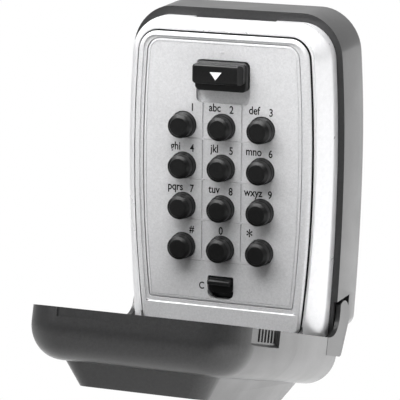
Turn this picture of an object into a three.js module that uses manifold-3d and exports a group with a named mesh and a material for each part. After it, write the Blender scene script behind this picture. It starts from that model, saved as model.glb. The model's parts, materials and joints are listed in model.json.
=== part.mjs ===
// Key lock box: push-button door in a silver front frame, cast housing and a drop-down weather cover.
// Millimetres, +Z up. Parts are drawn with y = 0 on the keypad plate and +y towards the wall; the whole
// model is then moved so that the origin is the centre of the wall face and the front faces -Y.
import * as THREE from 'three';
import { mergeVertices } from 'three/addons/utils/BufferGeometryUtils.js';
import Module from 'manifold-3d';

const wasm = await Module();
wasm.setup();

// Depths from the keypad plate's face, front to back.
const GAP = 0.35;
const PLATE_THICK = 1;
const SKIN_FRONT_Y = PLATE_THICK + GAP;
const SKIN_BACK_Y = 4;
const COVER_RIM_Y = 13.7;
const LEDGE_Y = 16;
const CASE_BACK_Y = 18.5;
const WALL_Y = 40;
const BACK_THICK = 3;

// Barrel-sided outlines: half width at the widest height, side radii above and below it, ends, corners.
const HOUSING = {
  half: 45.4, widest: 9, up: 500, down: 1050, top: 64.4, bottom: -63.5, topR: 16, bottomR: 5,
};
const FRAME = { half: 41.8, widest: 8, up: 550, down: 900, top: 61, bottom: -80, topR: 13, bottomR: 12 };
const DOOR = { half: 36.2, widest: 7, up: 550, down: 550, top: 56.7, bottom: -59.5, topR: 7.5, bottomR: 4 };
const PLATE = { half: 32.3, widest: 7, up: 550, down: 550, top: 54, bottom: -48.5, topR: 5, bottomR: 1 };
const CASE = { half: 34.8, widest: 7, up: 550, down: 550, top: 55.2, bottom: -53, topR: 6, bottomR: 4 };
const COVER = { half: 44, widest: 9, up: 500, down: 1200, top: 64.4, bottom: -90, topR: 16.5, bottomR: 15 };

// Casting walls and the rounding of the big shells.
const HOUSING_WALL = 3;
const HOUSING_FLARE = 1.1;          // the housing's sides stand wider at the wall than at the ledge
const HOUSING_REAR_ROUND = 3;
const LEDGE_FLANGE = 4.8;
const FRAME_FOOT_Z = -61.5;
const FRAME_ROUND = 11;
const CASE_WALL = 2.2;
const COVER_WALL = 1.8;
const COVER_FRONT_Y = -5.2;
const COVER_ROUND = { size: 13, thick: 11.6 };
const COVER_CUT_Z = -56;
const PANEL = { half: 32, top: 53, rise: 8.6, slope: 7.2, cornerR: 10 };

// Hinges.
const COVER_PIVOT = { y: 22, z: -56, earR: 7, pinR: 2 };
const COVER_OPEN_DEG = 73.2;
const EAR_INNER_X = 41.6;
const EAR_OUTER_X = 43.7;
const EAR_RECESS = { x: 41.2, back: 29.6, bottom: -64, top: -47.2 };
const RIM_RELIEF = { x: 40, depth: 1.2, top: -60.8 };
const DOOR_PIVOT = { y: 5, z: -56.5, pinR: 1.5 };
const DOOR_SWING_HALF = 33.6;       // room between the frame's feet for the door's foot as it turns

// Keypad: four rows of three, one pitch both ways.
const PITCH = 16;
const TOP_ROW_Z = 20.95;
const MIDDLE_COLUMN_X = 0.2;
const COLUMNS = [-1, 0, 1];
const ROWS = [0, 1, 2, 3];
const KEY_NAMES = ['1', '2', '3', '4', '5', '6', '7', '8', '9', 'hash', '0', 'star'];
const BUTTON = { capR: 4.65, skirtR: 5, flangeR: 6.2, stemR: 3.3, boreR: 2.3, frontY: -6, backY: 13 };
const BUTTON_HOLE_R = BUTTON.skirtR + GAP;
const STEM_HOLE_R = BUTTON.stemR + 0.4;

// Opening slider and its window, clear lever and its window.
const SLIDER_TRAVEL = 4;
const SLIDER_WINDOW = { x: 0.2, half: 10.9, top: 46.9, bottom: 30.1, r: 2 };
const KNOB = { x: 0.2, half: 10.5, top: 46.5, bottom: 35.3, gripTop: 46.1, gripBottom: 38.5, frontY: -7.2 };
const CLEAR_WINDOW = { half: 5.3, top: -38.1, bottom: -47.6, r: 2.4 };

const SPRING_PLATE_Y = 10;
const CODE_SLIDE_Y = 11.6;
const BOSSES = [[-26.5, 46], [26.5, 46], [-26.5, -45.5], [26.5, -45.5]];
const BOSS_R = 2.8;
const FRAME_SCREW = { x: 36, z: 55.2, lugR: 3.3, holeR: 1.4 };
const WALL_HOLES = [[-24, 38], [24, 38], [-24, -38], [24, -38]];
const WALL_HOLE_R = 2.6;
const LATCH_BOLT = { half: 4, front: 8.4, back: 10.3, bottom: 35, top: 55 };
const KEEPER_MOUTH = { half: 5.5, front: 6.5, drop: 4 };

const finish = (color, roughness, metalness) =>
  new THREE.MeshStandardMaterial({ color, roughness, metalness });
const pewterPaint = finish(0x5b5d60, 0.42, 0.55);
const brightSilver = finish(0xd9dadb, 0.24, 0.75);
const satinSilver = finish(0xc3c5c8, 0.45, 0.6);
const blackPlastic = finish(0x1e1f21, 0.45, 0);
const greyPlastic = finish(0x4a4c4f, 0.6, 0);
const steel = finish(0xa7a9ac, 0.35, 0.9);
const brass = finish(0xb9975a, 0.35, 0.9);

// ---- solids -------------------------------------------------------------------------------------

// A closed three.js geometry as a solid that can be joined and cut.
function toSolid(geometry) {
  const bare = geometry.clone();
  bare.deleteAttribute('normal');
  bare.deleteAttribute('uv');
  const merged = mergeVertices(bare, 1e-5);
  const index = Array.from(merged.index.array);
  const triangles = [];
  for (let i = 0; i < index.length; i += 3) {
    const [a, b, c] = index.slice(i, i + 3);
    if (a !== b && b !== c && c !== a) triangles.push(a, b, c);
  }
  return new wasm.Manifold(new wasm.Mesh({
    numProp: 3,
    vertProperties: new Float32Array(merged.attributes.position.array),
    triVerts: new Uint32Array(triangles),
  }));
}

function toGeometry(solid) {
  const mesh = solid.getMesh();
  const geometry = new THREE.BufferGeometry();
  geometry.setAttribute('position', new THREE.BufferAttribute(new Float32Array(mesh.vertProperties), 3));
  geometry.setIndex(new THREE.BufferAttribute(new Uint32Array(mesh.triVerts), 1));
  geometry.computeVertexNormals();
  return geometry;
}

const join = (first, ...rest) => rest.reduce((solid, other) => solid.add(other), first);
const cut = (base, ...tools) => tools.reduce((solid, tool) => solid.subtract(tool), base);

function box(x0, x1, y0, y1, z0, z1) {
  const geometry = new THREE.BoxGeometry(x1 - x0, y1 - y0, z1 - z0);
  geometry.translate((x0 + x1) / 2, (y0 + y1) / 2, (z0 + z1) / 2);
  return toSolid(geometry);
}

function rodY(x, z, radius, y0, y1, sides = 12) {
  const geometry = new THREE.CylinderGeometry(radius, radius, y1 - y0, sides);
  geometry.translate(x, (y0 + y1) / 2, z);
  return toSolid(geometry);
}

function rodX(y, z, radius, x0, x1, sides = 12) {
  const geometry = new THREE.CylinderGeometry(radius, radius, x1 - x0, sides);
  geometry.rotateZ(Math.PI / 2);
  geometry.translate((x0 + x1) / 2, y, z);
  return toSolid(geometry);
}

// A turned piece about a line along Y; the profile is [radius, y] from the front of the axis to its back.
function turned(x, z, profile, sides) {
  const geometry = new THREE.LatheGeometry(profile.map(([r, y]) => new THREE.Vector2(r, y)), sides);
  geometry.translate(x, 0, z);
  return toSolid(geometry);
}

// ---- outlines -----------------------------------------------------------------------------------

function arc(cx, cz, radius, from, to, steps) {
  return Array.from({ length: steps }, (_, i) => {
    const angle = from + ((to - from) * i) / steps;
    return new THREE.Vector2(cx + radius * Math.cos(angle), cz + radius * Math.sin(angle));
  });
}

// A quarter of a barrel outline: the side arc, then the corner arc that is tangent to it and to the end.
function quarter(half, widest, sideR, endZ, cornerR, turn) {
  const cornerZ = endZ - turn * cornerR;
  const rise = Math.abs(cornerZ - widest);
  const reach = Math.sqrt((sideR - cornerR) ** 2 - rise ** 2);
  const tilt = Math.atan2(rise, reach);
  const sideX = half - sideR;
  return [
    ...arc(sideX, widest, sideR, 0, turn * tilt, 3),
    ...arc(sideX + reach, cornerZ, cornerR, turn * tilt, (turn * Math.PI) / 2, 4),
    new THREE.Vector2(sideX + reach, endZ),
  ];
}

// The whole outline, moved inwards by inset all round.
function outline(o, inset = 0) {
  const half = o.half - inset;
  const up = quarter(half, o.widest, o.up - inset, o.top - inset, o.topR - inset, 1);
  const down = quarter(half, o.widest, o.down - inset, o.bottom + inset, o.bottomR - inset, -1);
  const right = [...down.slice(1).reverse(), ...up];
  const left = right.map((p) => new THREE.Vector2(-p.x, p.y)).reverse();
  return [...right, ...left];
}

function roundedRect(x0, x1, z0, z1, r, steps = 3) {
  const quarterTurn = Math.PI / 2;
  const corners = [[x1 - r, z0 + r, -1], [x1 - r, z1 - r, 0], [x0 + r, z1 - r, 1], [x0 + r, z0 + r, 2]];
  return corners.flatMap(([cx, cz, k]) => [
    ...arc(cx, cz, r, k * quarterTurn, (k + 1) * quarterTurn, steps),
    new THREE.Vector2(cx + r * Math.cos((k + 1) * quarterTurn), cz + r * Math.sin((k + 1) * quarterTurn)),
  ]);
}

// An outline in x and z given a thickness along y, with both ends rounded over when size is not 0.
function slabGeometry(points, yFront, yBack, size = 0, thick = size, segments = 4) {
  const geometry = new THREE.ExtrudeGeometry(new THREE.Shape(points), {
    depth: yBack - yFront - 2 * thick,
    bevelEnabled: size > 0,
    bevelSize: size,
    bevelOffset: -size,
    bevelThickness: thick,
    bevelSegments: segments,
  });
  geometry.rotateX(Math.PI / 2);
  geometry.translate(0, yBack - thick, 0);
  return geometry;
}

const slab = (...shape) => toSolid(slabGeometry(...shape));

// The housing's block, drawn in at its front so that its sides spread towards the wall.
function flaredHousing(yFront) {
  const geometry = slabGeometry(outline(HOUSING), yFront, WALL_Y, HOUSING_REAR_ROUND);
  const corners = geometry.attributes.position;
  const wideY = WALL_Y - HOUSING_REAR_ROUND;
  for (let i = 0; i < corners.count; i += 1) {
    const run = Math.max(0, wideY - corners.getY(i)) / (wideY - LEDGE_Y);
    corners.setX(i, corners.getX(i) * (1 - (HOUSING_FLARE * run) / HOUSING.half));
  }
  return toSolid(geometry);
}

// An outline in y and z given a thickness along x.
function plank(shape, x0, x1, curveSegments = 6) {
  const geometry = new THREE.ExtrudeGeometry(shape, { depth: x1 - x0, bevelEnabled: false, curveSegments });
  const toRow = new THREE.Matrix4().makeBasis(
    new THREE.Vector3(0, 1, 0), new THREE.Vector3(0, 0, 1), new THREE.Vector3(1, 0, 0));
  geometry.applyMatrix4(toRow);
  geometry.translate(x0, 0, 0);
  return toSolid(geometry);
}

const FAR = 200;
const inFrontOf = (y) => box(-FAR, FAR, y - FAR, y, -FAR, FAR);
const behind = (y) => box(-FAR, FAR, y, y + FAR, -FAR, FAR);
const below = (z) => box(-FAR, FAR, -FAR, FAR, z - FAR, z);

class Helix extends THREE.Curve {
  constructor(centre, along, radius, length, turns) {
    super();
    Object.assign(this, { centre, along, radius, length, turns });
  }

  getPoint(t) {
    const angle = t * this.turns * 2 * Math.PI;
    const a = this.radius * Math.cos(angle);
    const b = this.radius * Math.sin(angle);
    const rise = t * this.length;
    const offset = this.along === 'y' ? [a, rise, b] : [a, b, rise];
    return new THREE.Vector3(...offset).add(this.centre);
  }
}

// A compression spring of square wire that starts at centre and runs along +y or +z.
function spring(centre, along, radius, length, turns, wire) {
  const section = new THREE.Shape(arc(0, 0, wire, 0, 2 * Math.PI, 4));
  const path = new Helix(new THREE.Vector3(...centre), along, radius, length, turns);
  return toSolid(new THREE.ExtrudeGeometry(section, { steps: Math.round(turns * 7), extrudePath: path }));
}

// ---- housing and frame --------------------------------------------------------------------------

function rearHousing() {
  const shell = cut(flaredHousing(LEDGE_Y - 8), inFrontOf(LEDGE_Y));
  const mouth = slab(outline(HOUSING, LEDGE_FLANGE), LEDGE_Y - 1, LEDGE_Y + 4);
  const cavity = slab(outline(HOUSING, HOUSING_WALL), LEDGE_Y + 3.5, WALL_Y - BACK_THICK);
  let body = cut(shell, mouth, cavity);
  const { x: recessX, back, bottom, top } = EAR_RECESS;
  for (const side of [-1, 1]) {
    const recess = box(side < 0 ? -FAR : recessX, side < 0 ? -recessX : FAR, LEDGE_Y - 1, back, bottom, top);
    body = join(body, rodY(side * FRAME_SCREW.x, FRAME_SCREW.z, FRAME_SCREW.lugR, LEDGE_Y, LEDGE_Y + 8));
    const relief = box(
      side < 0 ? -FAR : RIM_RELIEF.x, side < 0 ? -RIM_RELIEF.x : FAR,
      LEDGE_Y - 1, LEDGE_Y + RIM_RELIEF.depth, bottom, RIM_RELIEF.top,
    );
    body = cut(
      body,
      recess,
      relief,
      rodY(side * FRAME_SCREW.x, FRAME_SCREW.z, FRAME_SCREW.holeR, LEDGE_Y - 1, LEDGE_Y + 9),
      rodX(COVER_PIVOT.y, COVER_PIVOT.z, COVER_PIVOT.pinR + GAP, side * 41 - 5, side * 41 + 5),
    );
  }
  for (const [x, z] of WALL_HOLES) body = cut(body, rodY(x, z, WALL_HOLE_R, WALL_Y - 5, WALL_Y + 1));
  return body;
}

function frontFrame() {
  const arch = slab(outline(FRAME), 0, LEDGE_Y + FRAME_ROUND, FRAME_ROUND, FRAME_ROUND, 4);
  const opening = slab(outline({ ...DOOR, bottom: -100 }, -0.4), -1, LEDGE_Y + 2);
  let body = cut(arch, behind(LEDGE_Y - 0.3), below(FRAME_FOOT_Z), opening);
  body = cut(
    body,
    box(-16.5, 16.5, LEDGE_Y - 3, LEDGE_Y, FRAME.top - 1.2, FRAME.top + 1),
    box(-DOOR_SWING_HALF, DOOR_SWING_HALF, -1, LEDGE_Y, FRAME_FOOT_Z - 1, DOOR_PIVOT.z + 1.1),
  );
  for (const side of [-1, 1]) {
    body = cut(
      body,
      rodY(side * FRAME_SCREW.x, FRAME_SCREW.z, 1.2, 6, LEDGE_Y),
      rodX(DOOR_PIVOT.y, DOOR_PIVOT.z, DOOR_PIVOT.pinR + GAP, side * 33.6 - 2, side * 33.6 + 2),
    );
  }
  return body;
}

// A countersunk or pan-head screw along Y, head at the back.
function screw(x, z, shankR, headR, tipY, headY, headThick) {
  const profile = [[0, tipY], [shankR, tipY], [shankR, headY], [headR, headY], [headR, headY + headThick / 2],
    [headR * 0.7, headY + headThick], [0, headY + headThick]];
  return turned(x, z, profile, 10);
}

// ---- weather cover, drawn closed ----------------------------------------------------------------

function coverShape(inset) {
  const front = COVER_FRONT_Y + inset;
  const { size, thick } = COVER_ROUND;
  const dish = slab(outline(COVER, inset), front, LEDGE_Y + thick + 4, size - inset, thick - inset, 4);
  const { half, top, rise, slope, cornerR } = PANEL;
  const foot = roundedRect(-half + inset, half - inset, COVER_CUT_Z + inset, top - inset, cornerR);
  const raised = slab(foot, front - rise, front + rise + 2, slope, rise, 1);
  return join(dish, raised);
}

function coverEar(side) {
  const { y, z, earR } = COVER_PIVOT;
  const shape = new THREE.Shape();
  const topAngle = 0.8;
  shape.moveTo(6.8, -39.4);
  shape.lineTo(6.8, -58.5);
  shape.lineTo(y - 3, z - Math.sqrt(earR ** 2 - 9));
  shape.absarc(y, z, earR, -Math.PI + Math.acos(3 / earR), topAngle, false);
  shape.quadraticCurveTo(COVER_RIM_Y, -54, COVER_RIM_Y, -39.4);
  const x = side < 0 ? -EAR_OUTER_X : EAR_INNER_X;
  const ear = plank(shape, x, x + EAR_OUTER_X - EAR_INNER_X, 7);
  const blindX = side * (EAR_INNER_X + 0.5);
  const blindHole = rodX(y, z, COVER_PIVOT.pinR + GAP, blindX - 1, blindX + 1);
  return cut(ear, blindHole);
}

function weatherCover() {
  const shell = cut(coverShape(0), coverShape(COVER_WALL), behind(COVER_RIM_Y), below(COVER_CUT_Z));
  const lip = box(-15, 15, COVER_RIM_Y - 1.9, COVER_RIM_Y - 0.3, COVER.top - 2.9, COVER.top - 1.5);
  return join(shell, lip, coverEar(-1), coverEar(1));
}

function coverPivot(side) {
  const { y, z, pinR } = COVER_PIVOT;
  const tip = EAR_INNER_X + 1.2;
  const shank = rodX(y, z, pinR, side < 0 ? -tip : 35, side < 0 ? -35 : tip);
  const head = rodX(y, z, 3.4, side < 0 ? -36.2 : 34.8, side < 0 ? -34.8 : 36.2);
  return join(shank, head);
}

// ---- door ---------------------------------------------------------------------------------------

const keyPlaces = ROWS.flatMap((row) => COLUMNS.map((column) => ({
  name: KEY_NAMES[row * COLUMNS.length + column + 1],
  x: MIDDLE_COLUMN_X + column * PITCH,
  z: TOP_ROW_Z - row * PITCH,
})));

const keyHoles = (radius, y0, y1, sides = 12) =>
  keyPlaces.map(({ x, z }) => rodY(x, z, radius, y0, y1, sides));

function windows(grow, y0, y1) {
  const { x, half, top, bottom, r } = SLIDER_WINDOW;
  const clear = CLEAR_WINDOW;
  return [
    slab(roundedRect(x - half - grow, x + half + grow, bottom - grow, top + grow, r), y0, y1),
    slab(
      roundedRect(-clear.half - grow, clear.half + grow, clear.bottom - grow, clear.top + grow, clear.r),
      y0,
      y1,
    ),
  ];
}

// Room in the door's top for the keeper's hook.
function keeperMouth(yFront) {
  const { half, drop } = KEEPER_MOUTH;
  return box(-half, half, yFront, CASE_BACK_Y + 1, CASE.top - drop, CASE.top + 1);
}

function doorPanel() {
  const front = cut(slab(outline(DOOR), -0.6, SKIN_BACK_Y + 4, 1.6, 1.6, 3), behind(SKIN_BACK_Y));
  const platePocket = slab(outline(PLATE, -GAP), -2, SKIN_FRONT_Y);
  const lowerStep = slab(roundedRect(-31, 31, DOOR.bottom + 1.6, PLATE.bottom - 2.1, 2), -2, 0.2);
  const ring = cut(
    slab(outline(CASE), SKIN_BACK_Y - 0.5, LEDGE_Y),
    slab(outline(CASE, CASE_WALL), SKIN_BACK_Y - 1, LEDGE_Y + 1),
  );
  const hingeBar = box(-31.5, 31.5, 2, 8.2, DOOR.bottom, CASE.bottom + 1);
  const railBackY = SPRING_PLATE_Y - 0.3;
  const rails = [-1, 1].map((side) => box(side * 31.25 - 1.5, side * 31.25 + 1.5, 3.5, railBackY, -30, 28));
  const springSeat = box(6, 12, 3.5, 9, 27.2, 28.8);
  const bosses = BOSSES.map(([x, z]) => rodY(x, z, BOSS_R, 3.5, LEDGE_Y, 10));
  const [, clearWindow] = windows(0, -2, 5);
  let body = join(cut(front, platePocket, lowerStep), ring, hingeBar, ...rails, springSeat, ...bosses);
  body = cut(
    body,
    ...keyHoles(BUTTON_HOLE_R, -2, 5),
    clearWindow,
    box(-4.4, 4.4, 0, 5, 36.8, 45.4),
    keeperMouth(KEEPER_MOUTH.front),
    rodX(DOOR_PIVOT.y, DOOR_PIVOT.z, DOOR_PIVOT.pinR + GAP, -FAR / 4, FAR / 4, 10),
    ...BOSSES.map(([x, z]) => rodY(x, z, 1.2, 7, LEDGE_Y + 1, 8)),
  );
  return body;
}

function keypadPlate() {
  return cut(slab(outline(PLATE), 0, PLATE_THICK), ...keyHoles(BUTTON_HOLE_R, -1, 2), ...windows(0, -1, 2));
}

function springPlate() {
  const plate = box(-30, 30, SPRING_PLATE_Y, SPRING_PLATE_Y + 1.2, -34.5, 29.5);
  return cut(plate, ...keyHoles(STEM_HOLE_R, 9, 12, 10));
}

function lockCase() {
  const plate = slab(outline(CASE), LEDGE_Y + 0.3, CASE_BACK_Y);
  const ribs = [-1, 1].map((side) => box(side * 28.5 - 1, side * 28.5 + 1, 11.5, LEDGE_Y + 0.6, -33, 28));
  return cut(
    join(plate, ...ribs),
    ...keyHoles(STEM_HOLE_R, 13, CASE_BACK_Y + 1, 10),
    keeperMouth(LEDGE_Y),
    ...BOSSES.map(([x, z]) => rodY(x, z, 1.2, 13, CASE_BACK_Y + 1, 8)),
  );
}

// ---- keypad mechanism ---------------------------------------------------------------------------

function button({ x, z }) {
  const { capR, skirtR, flangeR, stemR, boreR, frontY, backY } = BUTTON;
  return turned(x, z, [
    [0, frontY], [3.5, frontY], [capR, frontY + 1.1], [capR, -2.2], [skirtR, -1.9],
    [skirtR, 4.4], [flangeR, 4.4], [flangeR, 5.4], [stemR, 5.4], [stemR, backY], [boreR, backY], [boreR, 6],
    [0, 6],
  ], 12);
}

// The coding pin turns half a turn in its button: a notch on one side shows which way it stands.
function codePin({ x, z }) {
  const pin = turned(x, z, [[0, 6.4], [1.9, 6.4], [1.9, 12.7], [0, 12.7]], 10);
  return cut(pin, box(x - 0.35, x + 0.35, 11.8, 13, z - 1.2, z + 2.2));
}

const buttonSpring = ({ x, z }) => spring([x, 5.95, z], 'y', 4.35, 3.5, 3, 0.28);

function codeSlide() {
  const plate = box(-22.5, 22.5, CODE_SLIDE_Y, CODE_SLIDE_Y + 1, -33.5, 32.5);
  const slots = keyPlaces.map(({ x, z }) => box(
    x - STEM_HOLE_R, x + STEM_HOLE_R, 11, 13, z - STEM_HOLE_R, z + STEM_HOLE_R + SLIDER_TRAVEL));
  return cut(plate, ...slots);
}

function openSlider() {
  const { x, half, top, bottom, gripTop, gripBottom, frontY } = KNOB;
  const base = slab(roundedRect(x - half, x + half, bottom, top, 2), -3, PLATE_THICK, 0.4, 0.4, 1);
  const gripOutline = roundedRect(x - half + 0.3, x + half - 0.4, gripBottom, gripTop, 1.5);
  const grip = slab(gripOutline, frontY, -2.4, 0.7, 0.7, 2);
  return join(
    base,
    grip,
    box(-4, 4, 0.5, 4.5, 41, 45),
    box(-6, 12, 4.4, 5.6, 36, 46.3),
    box(6, 12, 5, 9, 36, 38),
    box(-4, 4, 5, 8, 41, 46),
  );
}

function latchBolt() {
  const { half, front, back, bottom, top } = LATCH_BOLT;
  return box(-half, half, front, back, bottom, top);
}

function clearLever() {
  return join(
    slab(roundedRect(-4.9, 4.9, -44.9, -38.6, 2.2), 0.4, 5),
    box(-7, 7, 4.4, 5.4, -48, -36),
    slab(roundedRect(-4.3, 4.3, -41.4, -39.4, 0.6), -3.4, 2, 0.5, 0.5, 1),
  );
}

function clearFork() {
  const fingers = [-1, 1].map((side) => box(side * 8 - 1.1, side * 8 + 1.1, 6, 7.2, -38, 25));
  return join(box(-20, 20, 6, 7.2, -41, -37.2), ...fingers);
}

// The keeper is a bent strip: a foot behind the frame, a run under its top and a hook into the door.
function keeperSpring() {
  const strip = 0.9;
  const footBackY = LEDGE_Y + strip;
  const shape = new THREE.Shape();
  const outer = [
    [7, 52.5], [7, 56.8], [LEDGE_Y, 56.8], [LEDGE_Y, 59.6], [footBackY, 59.6], [footBackY, 56.8 - strip],
    [7 + strip, 56.8 - strip], [7 + strip, 52.5],
  ];
  outer.forEach(([y, z], i) => (i ? shape.lineTo(y, z) : shape.moveTo(y, z)));
  return plank(shape, -4.5, 4.5);
}

// ---- assembly -----------------------------------------------------------------------------------

const lockBox = new THREE.Group();
const drawn = new THREE.Group();
drawn.position.y = -WALL_Y;
lockBox.add(drawn);

function add(name, solid, material, parent = drawn) {
  const mesh = new THREE.Mesh(toGeometry(solid), material);
  mesh.name = name;
  parent.add(mesh);
  return mesh;
}

add('rear_housing', rearHousing(), pewterPaint);
add('front_frame', frontFrame(), brightSilver);
for (const [name, side] of [['left', -1], ['right', 1]]) {
  add(`cover_pivot_${name}`, coverPivot(side), steel);
  const frameScrew = screw(side * FRAME_SCREW.x, FRAME_SCREW.z, 0.85, 1.5, 8, LEDGE_Y + 8.4, 1.3);
  add(`frame_screw_${name}`, frameScrew, steel);
}
add('keeper_spring', keeperSpring(), steel);
add('door_hinge_pin', rodX(DOOR_PIVOT.y, DOOR_PIVOT.z, DOOR_PIVOT.pinR, -35, 35), steel);

// The cover hangs open on its two pivots.
const coverHinge = new THREE.Group();
coverHinge.position.set(0, COVER_PIVOT.y, COVER_PIVOT.z);
coverHinge.rotation.x = THREE.MathUtils.degToRad(COVER_OPEN_DEG);
drawn.add(coverHinge);
add('weather_cover', weatherCover(), pewterPaint, coverHinge).position.set(0, -COVER_PIVOT.y, -COVER_PIVOT.z);

add('door_panel', doorPanel(), satinSilver);
add('keypad_plate', keypadPlate(), satinSilver);
add('spring_plate', springPlate(), steel);
add('lock_case', lockCase(), greyPlastic);
BOSSES.forEach(([x, z], i) => {
  add(`case_screw_${i + 1}`, screw(x, z, 0.8, 2, 8, CASE_BACK_Y + 0.3, 1.2), steel);
});

for (const place of keyPlaces) {
  add(`button_${place.name}`, button(place), blackPlastic);
  add(`code_pin_${place.name}`, codePin(place), brass);
  add(`button_spring_${place.name}`, buttonSpring(place), steel);
}

add('open_slider', openSlider(), blackPlastic);
add('latch_bolt', latchBolt(), steel);
add('code_slide', codeSlide(), steel);
add('slider_spring', spring([9, 7.2, 29.4], 'z', 1.9, 6, 4, 0.25), steel);
add('clear_lever', clearLever(), blackPlastic);
add('clear_fork', clearFork(), steel);
add('clear_spring', spring([11, 7.2, -50.2], 'z', 1.9, 8.6, 5, 0.25), steel);

export default lockBox;
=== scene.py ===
import json
import math
from collections import namedtuple

import bmesh
import bpy
from mathutils import Matrix, Vector


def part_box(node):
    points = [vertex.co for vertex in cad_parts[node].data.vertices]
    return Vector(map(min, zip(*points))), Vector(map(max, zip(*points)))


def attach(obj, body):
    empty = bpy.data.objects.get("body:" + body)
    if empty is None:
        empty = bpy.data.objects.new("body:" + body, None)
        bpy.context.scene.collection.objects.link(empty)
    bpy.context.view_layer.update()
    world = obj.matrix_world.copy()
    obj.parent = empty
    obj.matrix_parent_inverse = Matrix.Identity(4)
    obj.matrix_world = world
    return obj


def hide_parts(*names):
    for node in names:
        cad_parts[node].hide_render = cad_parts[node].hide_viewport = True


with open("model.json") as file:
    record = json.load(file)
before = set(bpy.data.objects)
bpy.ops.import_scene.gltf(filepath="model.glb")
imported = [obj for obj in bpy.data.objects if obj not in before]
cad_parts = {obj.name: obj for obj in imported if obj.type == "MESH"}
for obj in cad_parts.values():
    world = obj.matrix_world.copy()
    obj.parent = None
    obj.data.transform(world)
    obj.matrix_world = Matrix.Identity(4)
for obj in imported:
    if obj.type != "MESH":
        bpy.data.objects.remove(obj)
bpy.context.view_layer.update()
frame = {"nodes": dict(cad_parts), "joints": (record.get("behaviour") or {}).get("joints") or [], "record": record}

# Pieces are modelled in millimetres with y = 0 on the keypad plate's face and +y towards the wall, and are
# scaled and moved into the frame when they are finished.
MM = 0.001
PLATE_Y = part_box("keypad_plate")[0].y
INTO_FRAME = Matrix.Translation((0, PLATE_Y, 0)) @ Matrix.Scale(MM, 4)
FULL_TURN = 2 * math.pi
EPS = 1e-4

Barrel = namedtuple("Barrel", "half top bottom widest up down top_r bottom_r")


def barrel(node, widest, up, down, top_r, bottom_r, **changes):
    """A barrel-sided outline with a CAD node's width and height; up and down are the side radii."""
    low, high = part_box(node)
    shape = Barrel(high.x / MM, high.z / MM, low.z / MM, widest, up, down, top_r, bottom_r)
    return shape._replace(**changes)


def narrowing(shape, z):
    """How much of its full half width a barrel has lost at a height."""
    return (z - shape.widest) ** 2 / (2 * (shape.up if z > shape.widest else shape.down))


HOUSING = barrel("rear_housing", 9, 500, 1050, 16, 5)
FRAME = barrel("front_frame", 8, 550, 900, 13, 12, bottom=-80)
DOOR = barrel("door_panel", 7, 550, 550, 7.5, 4)
PLATE = barrel("keypad_plate", 7, 550, 550, 5, 1)
CASE = barrel("lock_case", 7, 550, 550, 6, 4)
COVER = barrel("weather_cover", 9, 500, 1200, 16.5, 15, half=44, top=HOUSING.top, bottom=-90)

LEDGE_Y = (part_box("rear_housing")[0].y - PLATE_Y) / MM
WALL_Y = -PLATE_Y / MM
FRAME_BACK_Y = LEDGE_Y - 0.3
RIM_Y = 13.7
FOOT_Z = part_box("front_frame")[0].z / MM
SEAM = 0.6

HINGES = {joint["name"]: joint for joint in frame["joints"]}
COVER_PIVOT = Vector(HINGES["cover_hinge"]["pos_m"]) / MM - Vector((0, PLATE_Y / MM, 0))
COVER_OPEN = math.radians(-HINGES["cover_hinge"]["range_deg"][0])
DOOR_PIVOT = Vector(HINGES["door_hinge"]["pos_m"]) / MM - Vector((0, PLATE_Y / MM, 0))

KEYS = ["1", "2", "3", "4", "5", "6", "7", "8", "9", "hash", "0", "star"]
LETTERS = {"2": "abc", "3": "def", "4": "ghi", "5": "jkl", "6": "mno", "7": "pqrs", "8": "tuv", "9": "wxyz"}


def key_place(key):
    low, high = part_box(f"button_{key}")
    middle = (low + high) / 2 / MM
    return middle.x, middle.z


# ---- node helpers ---------------------------------------------------------------------------------

def math_node(tree, operation, *values):
    """A Math node's result from sockets or plain numbers."""
    node = tree.nodes.new("ShaderNodeMath")
    node.operation = operation
    for socket, value in zip(node.inputs, values):
        if isinstance(value, bpy.types.NodeSocket):
            tree.links.new(value, socket)
        else:
            socket.default_value = value
    return node.outputs[0]


def map_range(tree, value, from_min, from_max, to_min=0.0, to_max=1.0):
    """A Map Range node that reads a socket."""
    node = tree.nodes.new("ShaderNodeMapRange")
    limits = {"From Min": from_min, "From Max": from_max, "To Min": to_min, "To Max": to_max}
    for label, limit in limits.items():
        node.inputs[label].default_value = limit
    tree.links.new(value, node.inputs["Value"])
    return node


def position(tree, output):
    """A texture coordinate as separate x, y and z sockets."""
    coords = tree.nodes.new("ShaderNodeTexCoord")
    parts = tree.nodes.new("ShaderNodeSeparateXYZ")
    tree.links.new(coords.outputs[output], parts.inputs[0])
    return parts.outputs["X"], parts.outputs["Y"], parts.outputs["Z"]


def show_camera(tree, lit, seen, surface):
    """Light falls from one shader while the camera sees the other."""
    ray = tree.nodes.new("ShaderNodeLightPath")
    mix = tree.nodes.new("ShaderNodeMixShader")
    tree.links.new(ray.outputs["Is Camera Ray"], mix.inputs["Fac"])
    tree.links.new(lit.outputs[0], mix.inputs[1])
    tree.links.new(seen.outputs[0], mix.inputs[2])
    tree.links.new(mix.outputs[0], surface)


# ---- camera, light and floor ----------------------------------------------------------------------

def aim(obj, azimuth, elevation, distance, target, roll=0.0):
    """Puts obj at a distance from the target, looking at it."""
    a, e, r = (math.radians(v) for v in (azimuth, elevation, roll))
    back = Vector((math.sin(a) * math.cos(e), -math.cos(a) * math.cos(e), math.sin(e)))
    right = Vector((math.cos(a), math.sin(a), 0))
    up = back.cross(right)
    across = right * math.cos(r) + up * math.sin(r)
    upward = up * math.cos(r) - right * math.sin(r)
    turn = Matrix((across, upward, back)).transposed().to_4x4()
    obj.matrix_world = Matrix.Translation(Vector(target) + back * distance) @ turn


FLOOR_REACH = 6
FLOOR_DROP = 0.06


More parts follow.
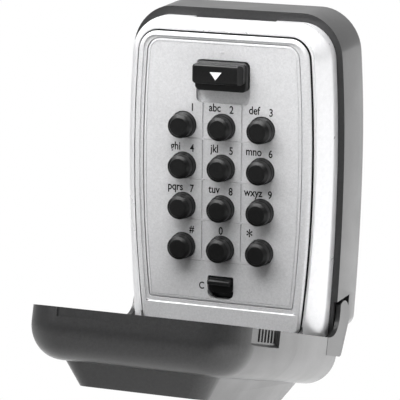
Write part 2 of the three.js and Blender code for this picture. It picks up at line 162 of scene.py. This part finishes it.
def make_camera():
    data = bpy.data.cameras.new("camera")
    data.lens = 216
    data.sensor_width = 36
    data.clip_start = 0.05
    camera = bpy.data.objects.new("camera", data)
    bpy.context.scene.collection.objects.link(camera)
    target = (-0.00878, PLATE_Y, -0.00841)
    aim(camera, azimuth=20.36, elevation=12.5, distance=0.9301, target=target, roll=0.48)
    bpy.context.scene.camera = camera


def softbox(name, azimuth, elevation, distance, width, height, power):
    data = bpy.data.lights.new(name, "AREA")
    data.shape = "RECTANGLE"
    data.size, data.size_y = width, height
    data.energy = power
    light = bpy.data.objects.new(name, data)
    bpy.context.scene.collection.objects.link(light)
    aim(light, azimuth, elevation, distance, target=(0, -0.02, 0))


def make_world():
    """Light mostly from behind and above the object, with plain white where it is seen directly."""
    world = bpy.data.worlds.new("studio")
    bpy.context.scene.world = world
    world.use_nodes = True
    tree = world.node_tree
    tree.nodes.clear()
    seen = tree.nodes.new("ShaderNodeBackground")
    seen.inputs["Color"].default_value = (1, 1, 1, 1)
    lit = tree.nodes.new("ShaderNodeBackground")
    _, back, up = position(tree, "Generated")
    behind_and_above = math_node(tree, "MULTIPLY_ADD", up, 0.5, back)
    strength = map_range(tree, behind_and_above, from_min=-0.2, from_max=1.1, to_min=0.04, to_max=0.85)
    strength.interpolation_type = "SMOOTHSTEP"
    tree.links.new(strength.outputs["Result"], lit.inputs["Strength"])
    out = tree.nodes.new("ShaderNodeOutputWorld")
    show_camera(tree, lit, seen, out.inputs["Surface"])


def make_studio():
    bpy.context.scene.view_settings.view_transform = "Standard"
    make_world()
    softbox("key_above", azimuth=-14, elevation=64, distance=0.5, width=0.5, height=0.4, power=6.6)
    softbox("side_right", azimuth=94, elevation=2, distance=1.0, width=0.8, height=0.9, power=0.4)
    softbox("fill_left", azimuth=-52, elevation=38, distance=1.1, width=0.7, height=0.9, power=6.2)
    floor = bpy.data.objects.new("floor", bpy.data.meshes.new("floor"))
    bpy.context.scene.collection.objects.link(floor)
    bm = bmesh.new()
    bmesh.ops.create_grid(bm, x_segments=1, y_segments=1, size=FLOOR_REACH)
    floor_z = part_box("weather_cover")[0].z - FLOOR_DROP
    bmesh.ops.translate(bm, vec=(0, 0, floor_z), verts=bm.verts)
    bm.to_mesh(floor.data)
    bm.free()
    floor.data.materials.append(pale_floor())


# ---- node groups and materials --------------------------------------------------------------------

def new_group(name, numbers, outputs):
    """A shader node group with float inputs and float outputs."""
    tree = bpy.data.node_groups.new(name, "ShaderNodeTree")
    for label, value in numbers.items():
        socket = tree.interface.new_socket(label, in_out="INPUT", socket_type="NodeSocketFloat")
        socket.default_value = value
    for label in outputs:
        tree.interface.new_socket(label, in_out="OUTPUT", socket_type="NodeSocketFloat")
    return tree, tree.nodes.new("NodeGroupInput"), tree.nodes.new("NodeGroupOutput")


def build_grain_group():
    """Fine orange-peel or spark-eroded grain: Height for a bump and Speckle for the colour."""
    tree, inside, outside = new_group("fine_grain", {"Scale": 2500.0, "Coarse": 0.3}, ["Height", "Speckle"])
    nodes, links = tree.nodes, tree.links
    coords = nodes.new("ShaderNodeTexCoord")
    fine = nodes.new("ShaderNodeTexNoise")
    fine.inputs["Detail"].default_value = 2
    rough = nodes.new("ShaderNodeTexNoise")
    rough_scale = math_node(tree, "MULTIPLY", inside.outputs["Scale"], inside.outputs["Coarse"])
    for noise, scale in ((fine, inside.outputs["Scale"]), (rough, rough_scale)):
        links.new(coords.outputs["Object"], noise.inputs["Vector"])
        links.new(scale, noise.inputs["Scale"])
    both = math_node(tree, "ADD", fine.outputs["Fac"], rough.outputs["Fac"])
    height = math_node(tree, "MULTIPLY", both, 0.5)
    speckle = map_range(tree, height, 0.35, 0.65)
    links.new(height, outside.inputs["Height"])
    links.new(speckle.outputs["Result"], outside.inputs["Speckle"])
    return tree


def build_handling_group():
    """Slow patches where hands and weather have polished or dulled a surface, between Low and High."""
    tree, inside, outside = new_group("handling", {"Scale": 45.0, "Low": 0.3, "High": 0.4}, ["Roughness"])
    nodes, links = tree.nodes, tree.links
    coords = nodes.new("ShaderNodeTexCoord")
    patches = nodes.new("ShaderNodeTexNoise")
    patches.inputs["Detail"].default_value = 4
    patches.inputs["Distortion"].default_value = 0.6
    links.new(coords.outputs["Object"], patches.inputs["Vector"])
    links.new(inside.outputs["Scale"], patches.inputs["Scale"])
    spread = map_range(tree, patches.outputs["Fac"], 0.3, 0.7)
    links.new(inside.outputs["Low"], spread.inputs["To Min"])
    links.new(inside.outputs["High"], spread.inputs["To Max"])
    links.new(spread.outputs["Result"], outside.inputs["Roughness"])
    return tree


GRAIN = build_grain_group()
HANDLING = build_handling_group()


def finish_material(name, dark, light, metallic, gloss, grain, coat=0.0, coat_roughness=0.15, specular=0.5):
    """A painted, plated or moulded surface: speckled colour, uneven gloss and a fine bump."""
    low, high = gloss
    scale, coarse, depth = grain
    material = bpy.data.materials.new(name)
    material.use_nodes = True
    nodes, links = material.node_tree.nodes, material.node_tree.links
    shader = nodes["Principled BSDF"]
    shader.inputs["Metallic"].default_value = metallic
    shader.inputs["Coat Weight"].default_value = coat
    shader.inputs["Coat Roughness"].default_value = coat_roughness
    shader.inputs["Specular IOR Level"].default_value = specular
    texture = nodes.new("ShaderNodeGroup")
    texture.node_tree = GRAIN
    texture.inputs["Scale"].default_value = scale
    texture.inputs["Coarse"].default_value = coarse
    colour = nodes.new("ShaderNodeMix")
    colour.data_type = "RGBA"
    colour.inputs["A"].default_value = (*dark, 1)
    colour.inputs["B"].default_value = (*light, 1)
    links.new(texture.outputs["Speckle"], colour.inputs["Factor"])
    links.new(colour.outputs["Result"], shader.inputs["Base Color"])
    wear = nodes.new("ShaderNodeGroup")
    wear.node_tree = HANDLING
    wear.inputs["Low"].default_value = low
    wear.inputs["High"].default_value = high
    links.new(wear.outputs["Roughness"], shader.inputs["Roughness"])
    bump = nodes.new("ShaderNodeBump")
    bump.inputs["Strength"].default_value = 0.5
    bump.inputs["Distance"].default_value = depth
    links.new(texture.outputs["Height"], bump.inputs["Height"])
    links.new(bump.outputs["Normal"], shader.inputs["Normal"])
    return material


def grey(value):
    return (value, value, value * 1.015)


def pale_floor():
    """White where it is seen. What it throws onto the object fades towards the front left."""
    material = bpy.data.materials.new("pale_floor")
    material.use_nodes = True
    tree = material.node_tree
    shader = tree.nodes["Principled BSDF"]
    shader.inputs["Base Color"].default_value = (0.4, 0.4, 0.4, 1)
    shader.inputs["Roughness"].default_value = 0.9
    shader.inputs["Emission Strength"].default_value = 1
    across, back, _ = position(tree, "Object")
    back_right = math_node(tree, "MULTIPLY_ADD", across, 1.4, back)
    glow = map_range(tree, back_right, from_min=-0.3, from_max=0.15, to_min=0.02, to_max=1.2)
    tree.links.new(glow.outputs["Result"], shader.inputs["Emission Color"])
    seen = tree.nodes.new("ShaderNodeEmission")
    show_camera(tree, shader, seen, tree.nodes["Material Output"].inputs["Surface"])
    return material


PEWTER = finish_material("pewter_paint", grey(0.022), grey(0.032), 0.15, (0.3, 0.38), (2200, 0.4, 0.00002),
                         coat=0.3, coat_roughness=0.25)
BRIGHT = finish_material("bright_silver", grey(0.76), grey(0.82), 0.4, (0.26, 0.34), (3000, 0.2, 0.000004),
                         coat=0.15)
SATIN = finish_material("satin_silver", grey(0.58), grey(0.7), 0.4, (0.42, 0.5), (3600, 0.35, 0.00002))
BLACK = finish_material("black_plastic", grey(0.004), grey(0.008), 0.0, (0.3, 0.4), (2600, 0.4, 0.00002),
                        specular=0.28)
GREY = finish_material("grey_plastic", grey(0.07), grey(0.09), 0.0, (0.5, 0.6), (2000, 0.3, 0.00003))
STEEL = finish_material("zinc_steel", grey(0.42), grey(0.52), 0.95, (0.28, 0.4), (1800, 0.1, 0.00001))
BRASS = finish_material("turned_brass", (0.55, 0.38, 0.16), (0.66, 0.48, 0.22), 0.95, (0.25, 0.35),
                        (2400, 0.2, 0.00001))
# Painted shade: a near-black finish for the strip in the door's seam, standing in for the shadow in the gap.
SEAM_SHADE_BLACK = finish_material("seam_shade_black", grey(0.004), grey(0.007), 0.0, (0.6, 0.75), (2400, 0.3, 0.00002),
                         specular=0.2)
INK = finish_material("printed_ink", grey(0.004), grey(0.008), 0.0, (0.5, 0.6), (4000, 0.3, 0.000005),
                      specular=0.2)
WHITE_MARK = finish_material("light_mark", grey(0.72), grey(0.8), 0.0, (0.4, 0.5), (3000, 0.3, 0.000005))

SLOT_FINISH = {
    "pewter_paint": PEWTER,
    "bright_silver": BRIGHT,
    "satin_silver": SATIN,
    "black_plastic": BLACK,
    "grey_plastic": GREY,
    "steel": STEEL,
    "brass": BRASS,
}


def finish_cad_nodes():
    for part in frame["record"]["subparts"]:
        for slot in frame["nodes"][part["node"]].material_slots:
            slot.link = "OBJECT"
            slot.material = SLOT_FINISH[part["material_slot"]]


# ---- mesh work ------------------------------------------------------------------------------------

def block(x0, x1, y0, y1, z0, z1):
    bm = bmesh.new()
    bmesh.ops.create_cube(bm, size=1)
    bmesh.ops.scale(bm, vec=(x1 - x0, y1 - y0, z1 - z0), verts=bm.verts)
    bmesh.ops.translate(bm, vec=((x0 + x1) / 2, (y0 + y1) / 2, (z0 + z1) / 2), verts=bm.verts)
    return bm


def bevel_edges(bm, edges, radius, segments):
    bmesh.ops.bevel(
        bm, geom=edges, offset=radius, segments=segments, profile=0.5, affect="EDGES", material=-1,
    )


def round_edges(bm, chosen, radius, segments):
    """Rounds every edge that chosen(first corner, second corner) picks."""
    edges = [e for e in bm.edges if len(e.link_faces) == 2 and chosen(*(v.co for v in e.verts))]
    bevel_edges(bm, edges, radius, segments)
    return bm


def rim_edges(bm, y, radius, segments):
    """Rounds the outline of the flat end that lies at this depth."""
    def on_rim(edge):
        ends = all(abs(v.co.y - y) < EPS for v in edge.verts)
        return ends and any(abs(f.normal.y) < 0.5 for f in edge.link_faces)
    bm.normal_update()
    edges = [e for e in bm.edges if on_rim(e)]
    bevel_edges(bm, edges, radius, segments)
    return bm


def barrel_block(shape, front, back, inset=0.0, round_front=0.0, round_back=0.0, segments=12):
    """A block with a barrel outline from the depth front to the depth back."""
    half, top, bottom = shape.half - inset, shape.top - inset, shape.bottom + inset
    bm = block(-half, half, front, back, bottom, top)
    for end, radius in ((top, shape.top_r - inset), (bottom, shape.bottom_r - inset)):
        round_edges(bm, lambda a, b: abs(a.z - end) < EPS and abs(b.z - end) < EPS and abs(a.y - b.y) > EPS,
                    radius, 12)
    if round_front:
        rim_edges(bm, front, round_front, segments)
    if round_back:
        rim_edges(bm, back, round_back, segments)
    cuts = 18
    for i in range(1, cuts):
        height = bottom + (top - bottom) * i / cuts
        everything = bm.verts[:] + bm.edges[:] + bm.faces[:]
        bmesh.ops.bisect_plane(bm, geom=everything, plane_co=(0, 0, height), plane_no=(0, 0, 1))
    for v in bm.verts:
        v.co.x *= 1 - narrowing(shape, v.co.z) / half
    return bm


def rounded_block(x0, x1, y0, y1, z0, z1, corner, edge=0.0, segments=6):
    """A block whose outline has round corners and whose front edge is rounded over."""
    bm = block(x0, x1, y0, y1, z0, z1)
    round_edges(bm, lambda a, b: abs(a.y - b.y) > EPS, corner, segments)
    if edge:
        rim_edges(bm, y0, edge, 4)
    return bm


def rod(centre, axis, radius, length, sides=48):
    """A closed cylinder along an axis, centred on a point."""
    bm = bmesh.new()
    turn = Vector(axis).to_track_quat("Z", "Y").to_matrix().to_4x4()
    bmesh.ops.create_cone(bm, cap_ends=True, segments=sides, radius1=radius, radius2=radius, depth=length,
                          matrix=Matrix.Translation(centre) @ turn)
    return bm


def turned(profile, sides=64):
    """A turned solid about the y axis from [radius, y] corners that start and end on the axis."""
    bm = bmesh.new()
    corners = [bm.verts.new((radius, y, 0)) for radius, y in profile]
    edges = [bm.edges.new(pair) for pair in zip(corners, corners[1:])]
    bmesh.ops.spin(bm, geom=corners + edges, cent=(0, 0, 0), axis=(0, 1, 0), angle=FULL_TURN, steps=sides,
                   use_merge=True)
    bmesh.ops.remove_doubles(bm, verts=bm.verts, dist=EPS)
    bmesh.ops.recalc_face_normals(bm, faces=bm.faces)
    return bm


def thicken(bm, corners, vec):
    """A flat face through the corners, drawn out along vec into a closed solid."""
    face = bm.faces.new([bm.verts.new(corner) for corner in corners])
    grown = bmesh.ops.extrude_face_region(bm, geom=[face])
    raised = [v for v in grown["geom"] if isinstance(v, bmesh.types.BMVert)]
    bmesh.ops.translate(bm, vec=vec, verts=raised)
    bmesh.ops.recalc_face_normals(bm, faces=bm.faces)
    return bm


def sheet_shape(points, x0, x1):
    """A flat outline in y and z given a thickness along x."""
    return thicken(bmesh.new(), [(x0, y, z) for y, z in points], (x1 - x0, 0, 0))


def merged(*parts):
    """Separate solids gathered in one mesh, for cutting or for showing together."""
    whole = bmesh.new()
    for part in parts:
        mesh = bpy.data.meshes.new("part")
        part.to_mesh(mesh)
        part.free()
        whole.from_mesh(mesh)
        bpy.data.meshes.remove(mesh)
    return whole


def as_object(bm, name="work"):
    mesh = bpy.data.meshes.new(name)
    bm.to_mesh(mesh)
    bm.free()
    obj = bpy.data.objects.new(name, mesh)
    bpy.context.scene.collection.objects.link(obj)
    return obj


def combine(base, other, operation):
    """Joins, cuts or intersects two solids exactly and returns the result."""
    first, second = as_object(base), as_object(other)
    modifier = first.modifiers.new("combine", "BOOLEAN")
    modifier.operation = operation
    modifier.solver = "EXACT"
    modifier.object = second
    depsgraph = bpy.context.evaluated_depsgraph_get()
    mesh = bpy.data.meshes.new_from_object(first.evaluated_get(depsgraph))
    result = bmesh.new()
    result.from_mesh(mesh)
    for obj in (first, second):
        data = obj.data
        bpy.data.objects.remove(obj)
        bpy.data.meshes.remove(data)
    bpy.data.meshes.remove(mesh)
    bmesh.ops.remove_doubles(result, verts=result.verts, dist=EPS)
    return result


def join(base, *others):
    for other in others:
        base = combine(base, other, "UNION")
    return base


def cut(base, *tools):
    for tool in tools:
        base = combine(base, tool, "DIFFERENCE")
    return base


def piece(bm, name, body, material, replaces=(), edge=0.0, sharp=32.0, turn=None):
    """Finishes a solid: places it in the frame, shades it, rounds its sharp edges and rides it."""
    if turn:
        bmesh.ops.transform(bm, matrix=turn, verts=bm.verts)
    bmesh.ops.transform(bm, matrix=INTO_FRAME, verts=bm.verts)
    limit = math.radians(sharp)
    bm.normal_update()
    for e in bm.edges:
        e.smooth = len(e.link_faces) != 2 or e.calc_face_angle(0) < limit
    for f in bm.faces:
        f.smooth = True
    obj = as_object(bm, name)
    obj.data.materials.append(material)
    if edge:
        bevel = obj.modifiers.new("soft_edges", "BEVEL")
        bevel.width = edge * MM
        bevel.segments = 2
        bevel.limit_method = "ANGLE"
        bevel.angle_limit = limit
        bevel.harden_normals = True
    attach(obj, body)
    if replaces:
        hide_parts(*replaces)
    return obj


# ---- housing and front frame ----------------------------------------------------------------------

HOUSING_FLARE = 1.1
REAR_ROUND = 3
LUG_R = 3.3
LUG_HOLE_R = 1.4
WALL_HOLE_R = 2.6
SWING_HALF = 33.6
OUTSIDE = 60


def make_housing():
    wall, back_wall, mouth = 3, 3, 4.8
    body = barrel_block(HOUSING, LEDGE_Y, WALL_Y, round_back=REAR_ROUND, segments=6)
    wide_y = WALL_Y - REAR_ROUND
    for v in body.verts:
        run = max(0, wide_y - v.co.y) / (wide_y - LEDGE_Y)
        v.co.x *= 1 - HOUSING_FLARE * run / HOUSING.half
    recess_x, recess_back, recess_top = 41.2, 29.6, -48.2
    recesses = [
        block(*sorted((side * recess_x, side * OUTSIDE)), LEDGE_Y - 4, recess_back, -64, recess_top)
        for side in (-1, 1)
    ]
    body = cut(
        body,
        barrel_block(HOUSING, LEDGE_Y - 1, LEDGE_Y + 4, inset=mouth),
        barrel_block(HOUSING, LEDGE_Y + 3.5, WALL_Y - back_wall, inset=wall),
        merged(*[rod((x, WALL_Y, z), (0, 1, 0), WALL_HOLE_R, 12) for x in (-24, 24) for z in (-38, 38)]),
        *recesses,
    )
    screw_low, screw_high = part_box("frame_screw_right")
    x, z = (screw_low.x + screw_high.x) / 2 / MM, (screw_low.z + screw_high.z) / 2 / MM
    lugs = [rod((side * x, LEDGE_Y + 4.2, z), (0, 1, 0), LUG_R, 7.6) for side in (-1, 1)]
    body = join(body, *lugs)
    lug_holes = [rod((side * x, LEDGE_Y + 4, z), (0, 1, 0), LUG_HOLE_R, 20) for side in (-1, 1)]
    body = cut(body, merged(*lug_holes))
    piece(body, "housing_shell", "root", PEWTER, ["rear_housing"], edge=0.5)


def make_front_frame():
    foot = DOOR_PIVOT.z + 1.1
    opening = DOOR._replace(bottom=-100, bottom_r=8)
    body = barrel_block(FRAME, 0, FRAME_BACK_Y, round_front=11, segments=16)
    body = join(body, barrel_block(opening, 1.25, 6, inset=-SEAM - 0.8))
    body = cut(
        body,
        block(-OUTSIDE, OUTSIDE, -5, 20, -110, FOOT_Z),
        barrel_block(opening, -2, LEDGE_Y + 2, inset=-SEAM),
        block(-SWING_HALF, SWING_HALF, -1, LEDGE_Y, FOOT_Z - 1, foot),
        block(-16.5, 16.5, LEDGE_Y - 3, LEDGE_Y, FRAME.top - 1.2, FRAME.top + 1),
    )
    piece(body, "front_arch", "root", BRIGHT, ["front_frame"], edge=0.25)


def make_seam_shade_strip():
    """A thin near-black skin round the sides of the door: painted shade, standing in for the shadow in the gap
    round the door.
    """
    ring = cut(
        barrel_block(DOOR, 0.7, 4.2, inset=-0.14),
        barrel_block(DOOR, 0, 5, inset=0.9),
    )
    piece(ring, "seam_shade_strip", "door", SEAM_SHADE_BLACK)


# ---- weather cover, modelled shut -----------------------------------------------------------------

COVER_FRONT_Y = -5.2
COVER_WALL = 1.8
HINGE_END_Z = -56


def cover_block(inset):
    """The cover's dish and raised panel as one solid, moved inwards by inset."""
    front = COVER_FRONT_Y + inset
    dish = barrel_block(COVER, front, RIM_Y + 14, inset, round_front=13 - inset, segments=14)
    half, top, rise, slope = 32 - inset, 53 - inset, 8.6, 7.2
    panel = block(-half, half, front - rise, front + 4, HINGE_END_Z + inset, top)
    round_edges(panel, lambda a, b: abs(a.y - b.y) > EPS, 8, 8)
    middle_z = (HINGE_END_Z + inset + top) / 2
    for v in panel.verts:
        if abs(v.co.y - (front - rise)) < EPS:
            v.co.x *= 1 - slope / half
            v.co.z = middle_z + (v.co.z - middle_z) * (1 - slope / (top - middle_z))
    rim_edges(panel, front - rise, 1.8, 5)
    return join(dish, panel)


def cover_ear(side):
    """A hinge ear: a round end on the pivot with a hollow curve up to the cover's rim."""
    y, z = COVER_PIVOT.y, COVER_PIVOT.z
    radius, top_angle, low_angle = 7, 0.8, -math.pi + math.acos(3 / 7)
    steps = 20
    disc = [(y + radius * math.cos(t), z + radius * math.sin(t))
            for t in (low_angle + (top_angle - low_angle) * i / steps for i in range(steps + 1))]
    start, bend, end = Vector(disc[-1]), Vector((RIM_Y, -54)), Vector((RIM_Y, -39.4))
    hollow = [tuple(start.lerp(bend, t).lerp(bend.lerp(end, t), t)) for t in (i / 12 for i in range(1, 13))]
    points = [(6.8, -39.4), (6.8, -56), (7.4, -57.6), (9, -58.5), *disc, *hollow]
    inner, outer, lean = 41.6, 43.1, 0.028
    ear = sheet_shape(points, inner, outer)
    for v in ear.verts:
        if v.co.x > (inner + outer) / 2:
            v.co.x += lean * (points[0][1] - v.co.z)
        v.co.x *= side
    bmesh.ops.recalc_face_normals(ear, faces=ear.faces)
    return ear


def wall_block(side, y0, y1, z0, z1, depth):
    """A cutter that sinks to one depth below the cover's curved side wall."""
    bm = block(0, 1, y0, y1, z0, z1)
    for v in bm.verts:
        skin = COVER.half - narrowing(COVER, v.co.z)
        v.co.x = side * (skin + 2 if v.co.x > 0.5 else skin - depth)
    bmesh.ops.recalc_face_normals(bm, faces=bm.faces)
    return bm


def grip_cutters(side):
    """The pocket beside the rim where fingers pull the cover, and the grooves in its floor."""
    low, high, reach, pocket_depth, groove_depth = 24, 50, 5.4, 1.15, 1.8
    pocket = wall_block(side, RIM_Y - reach, RIM_Y + 1, low, high, pocket_depth)
    for v in pocket.verts:
        if abs(v.co.x) > COVER.half:
            v.co.z += 2.4 if v.co.z > (low + high) / 2 else -1.0
            v.co.y -= 2.2 if v.co.y < RIM_Y else 0
    grooves = [wall_block(side, RIM_Y - reach + 0.7, RIM_Y + 1, z, z + 1.9, groove_depth)
               for z in (low + 1 + i * 3.1 for i in range(6))]
    return pocket, grooves


def make_cover():
    body = cut(cover_block(0), cover_block(COVER_WALL))
    body = cut(body, block(-80, 80, RIM_Y, 60, -120, 100), block(-80, 80, -60, 60, -120, HINGE_END_Z))
    step = block(-27, 27, RIM_Y - 3.4, RIM_Y + 1, COVER.top - 0.6, COVER.top + 2)
    body = cut(body, step)
    lip = block(-15, 15, RIM_Y - 1.9, RIM_Y - 0.3, COVER.top - 2.9, COVER.top - 1.5)
    body = join(body, lip, cover_ear(-1), cover_ear(1))
    for side in (-1, 1):
        pocket, grooves = grip_cutters(side)
        body = cut(body, pocket, merged(*grooves))
    pivot = Matrix.Translation(COVER_PIVOT)
    opened = pivot @ Matrix.Rotation(COVER_OPEN, 4, "X") @ pivot.inverted()
    piece(body, "cover_shell", "cover", PEWTER, ["weather_cover"], edge=0.4, turn=opened)


# ---- door -----------------------------------------------------------------------------------------

HOLE_R = 5.35
SLIDER_WINDOW = (-10.7, 11.1, 30.1, 46.9)
CLEAR_WINDOW = (-5.3, 5.3, -47.6, -38.1)


def hole_cutters(radius, depth=30):
    return merged(*[rod((x, 0, z), (0, 1, 0), radius, depth) for x, z in map(key_place, KEYS)])


def clear_window_cutter(y0, y1):
    """Square above and bowed below."""
    x0, x1, z0, z1 = CLEAR_WINDOW
    bm = block(x0, x1, y0, y1, z0, z1)
    round_edges(bm, lambda a, b: abs(a.y - b.y) > EPS and a.z > z1 - 1, 0.6, 4)
    round_edges(bm, lambda a, b: abs(a.y - b.y) > EPS and a.z < z0 + 1, 3.2, 8)
    return bm


def make_door():
    skin_back = 4
    front = barrel_block(DOOR, -0.6, skin_back, round_front=1.5, segments=6)
    recess = PLATE._replace(half=PLATE.half + 1.6, top=PLATE.top + 1.2, bottom=PLATE.bottom - 1.6)
    step = sheet_shape([(-0.1, -50.1), (-0.1, -50.4), (-0.7, -50.75), (-0.7, -50.1)], -31, 31)
    ring = cut(
        barrel_block(CASE, skin_back - 0.5, LEDGE_Y),
        barrel_block(CASE, skin_back - 1, LEDGE_Y + 1, inset=2.2),
    )
    bar = block(-31.5, 31.5, 2, 8.2, DOOR.bottom, CASE.bottom + 1)
    rails = [block(side * 31.25 - 1.5, side * 31.25 + 1.5, 3.5, 9.7, -30, 28) for side in (-1, 1)]
    body = cut(front, barrel_block(recess, -3, -0.1), step, barrel_block(PLATE, -3, 1.35, inset=-0.3))
    body = join(body, ring, bar, *rails)
    body = cut(
        body,
        hole_cutters(HOLE_R),
        clear_window_cutter(-3, 5),
        block(-4.4, 4.4, 0, 5, 36.8, 45.4),
        block(-5.5, 5.5, 6.5, LEDGE_Y + 1, CASE.top - 4, CASE.top + 1),
        rod((0, DOOR_PIVOT.y, DOOR_PIVOT.z), (1, 0, 0), 1.85, 90),
    )
    piece(body, "door_shell", "door", SATIN, ["door_panel"], edge=0.3)


def make_plate():
    thick = 1
    body = barrel_block(PLATE, -0.05, thick, round_front=0.45, segments=2)
    width, deep = 0.62, 0.5
    grooves = [block(x - width / 2, x + width / 2, -1, deep, z - 15.3, z - 0.4)
               for x in (-7.8, 8.2) for z in (31.6, 15.8, -0.2, -16.2)]
    fine = 0.34
    grooves += [block(x0, x1, -1, deep / 2, z - fine / 2, z + fine / 2)
                for z in (15.8, -0.2, -16.2, -32.4) for x0, x1 in ((-14, -8.3), (-7.3, 7.7), (8.7, 14))]
    border = cut(
        barrel_block(PLATE, -1, 0.2, inset=0.95),
        barrel_block(PLATE, -2, 2, inset=1.25),
    )
    x0, x1, z0, z1 = SLIDER_WINDOW
    body = cut(
        body,
        border,
        merged(*grooves),
        hole_cutters(HOLE_R - 0.05),
        rounded_block(x0, x1, -2, 3, z0, z1, 2),
        clear_window_cutter(-2, 3),
    )
    pip = rounded_block(-1.2, 0.5, -0.22, 0.5, 49.6, 50.1, 0.2)
    body = join(body, pip)
    piece(body, "plate_face", "door", SATIN, ["keypad_plate"], edge=0.18)


# ---- keys, slider and lever -----------------------------------------------------------------------

def make_buttons():
    profile = [
        (0, -5.92), (2.2, -5.95), (3.2, -6.0), (3.4, -5.93), (3.55, -5.7), (4.3, -5.25), (4.55, -5.1),
        (4.65, -4.85), (4.65, -3.0), (4.72, -2.6), (4.9, -2.42), (5.0, -2.15), (5.0, 4.4), (6.2, 4.4),
        (6.2, 5.4), (3.3, 5.4), (3.3, 13.0), (2.3, 13.0), (2.3, 6.0), (0, 6.0),
    ]
    for key in KEYS:
        x, z = key_place(key)
        bm = turned(profile)
        bmesh.ops.translate(bm, vec=(x, 0, z), verts=bm.verts)
        piece(bm, f"key_{key}", f"key_{key}", BLACK, [f"button_{key}"], sharp=25)


def make_slider():
    base = rounded_block(-10.3, 10.7, -3, 1, 35.3, 46.5, 2, edge=0.6)
    grip = block(-10, 10.3, -7.2, -2.4, 38.5, 46.1)
    round_edges(grip, lambda a, b: abs(a.y - b.y) > EPS, 1.3, 5)
    rim_edges(grip, -7.2, 1.0, 5)
    thumb_scoop = rod((11.4, -8.3, 42), (0, 0, 1), 3.2, 20)
    body = join(
        base,
        cut(grip, thumb_scoop),
        block(-4, 4, 0.5, 4.5, 41, 45),
        block(-6, 12, 4.4, 5.6, 36, 46.3),
        block(6, 12, 5, 9, 36, 38),
        block(-4, 4, 5, 8, 41, 46),
    )
    piece(body, "slider_knob", "slider", BLACK, ["open_slider"], edge=0.22)
    top, tip, half = 43.3, 40.3, 2.4
    arrow = thicken(bmesh.new(), ((-half, 0, top), (0, 0, tip), (half, 0, top)), (0, -0.1, 0))
    bmesh.ops.translate(arrow, vec=(-0.3, -7.16, 0), verts=arrow.verts)
    piece(arrow, "slider_arrow", "slider", WHITE_MARK)


def make_lever():
    pad = block(-4.95, 4.95, 0.35, 5, -44.9, -38.5)
    round_edges(pad, lambda a, b: abs(a.y - b.y) > EPS and a.z < -44, 2.2, 6)
    ridge = block(-4.6, 4.6, -3.0, 2, -41.2, -39.2)
    round_edges(ridge, lambda a, b: abs(a.x - b.x) > EPS and a.y < 0, 0.8, 5)
    body = join(pad, ridge, block(-7, 7, 4.4, 5.4, -48, -36))
    piece(body, "lever_knob", "clear", BLACK, ["clear_lever"], edge=0.25)


# ---- printed legends ------------------------------------------------------------------------------

def legend(text, x, z, size, name):
    """Plain printed characters standing a hair proud of the plate."""
    curve = bpy.data.curves.new(name, "FONT")
    curve.body = text
    curve.size = size
    curve.align_x = "CENTER"
    curve.align_y = "CENTER"
    curve.extrude = 0.012
    curve.offset = 0.08
    temp = bpy.data.objects.new(name, curve)
    bpy.context.scene.collection.objects.link(temp)
    depsgraph = bpy.context.evaluated_depsgraph_get()
    mesh = bpy.data.meshes.new_from_object(temp.evaluated_get(depsgraph))
    bpy.data.objects.remove(temp)
    bm = bmesh.new()
    bm.from_mesh(mesh)
    bpy.data.meshes.remove(mesh)
    bmesh.ops.remove_doubles(bm, verts=bm.verts, dist=EPS)
    stand = Matrix.Translation((x, -0.07, z)) @ Matrix.Rotation(math.radians(90), 4, "X")
    bmesh.ops.transform(bm, matrix=stand @ Matrix.Diagonal((0.82, 1, 1, 1)), verts=bm.verts)
    piece(bm, name, "door", INK)


def make_legends():
    for row in range(4):
        line = 27.75 - 16 * row
        for column, key in enumerate(KEYS[3 * row:3 * row + 3]):
            x = 16 * (column - 1)
            if key in LETTERS:
                legend(LETTERS[key], x - 3.0, line + 0.45, 4.35, f"letters_{key}")
            if key.isdigit() and key != "0":
                legend(key, x + 3.8, line, 4.2, f"digit_{key}")
    legend("#", -12.1, -20.3, 4.0, "mark_hash")
    legend("0", -0.1, -20.1, 4.3, "digit_0")
    legend("*", 11.7, -21.2, 7.0, "mark_star")
    legend("C", -7.8, -42.5, 3.9, "mark_clear")


make_camera()
make_studio()
finish_cad_nodes()
make_housing()
make_front_frame()
make_cover()
make_door()
# The near-black strip in the door's seam is painted shade for the shadow in the gap.
make_seam_shade_strip()
make_plate()
make_buttons()
make_slider()
make_lever()
make_legends()
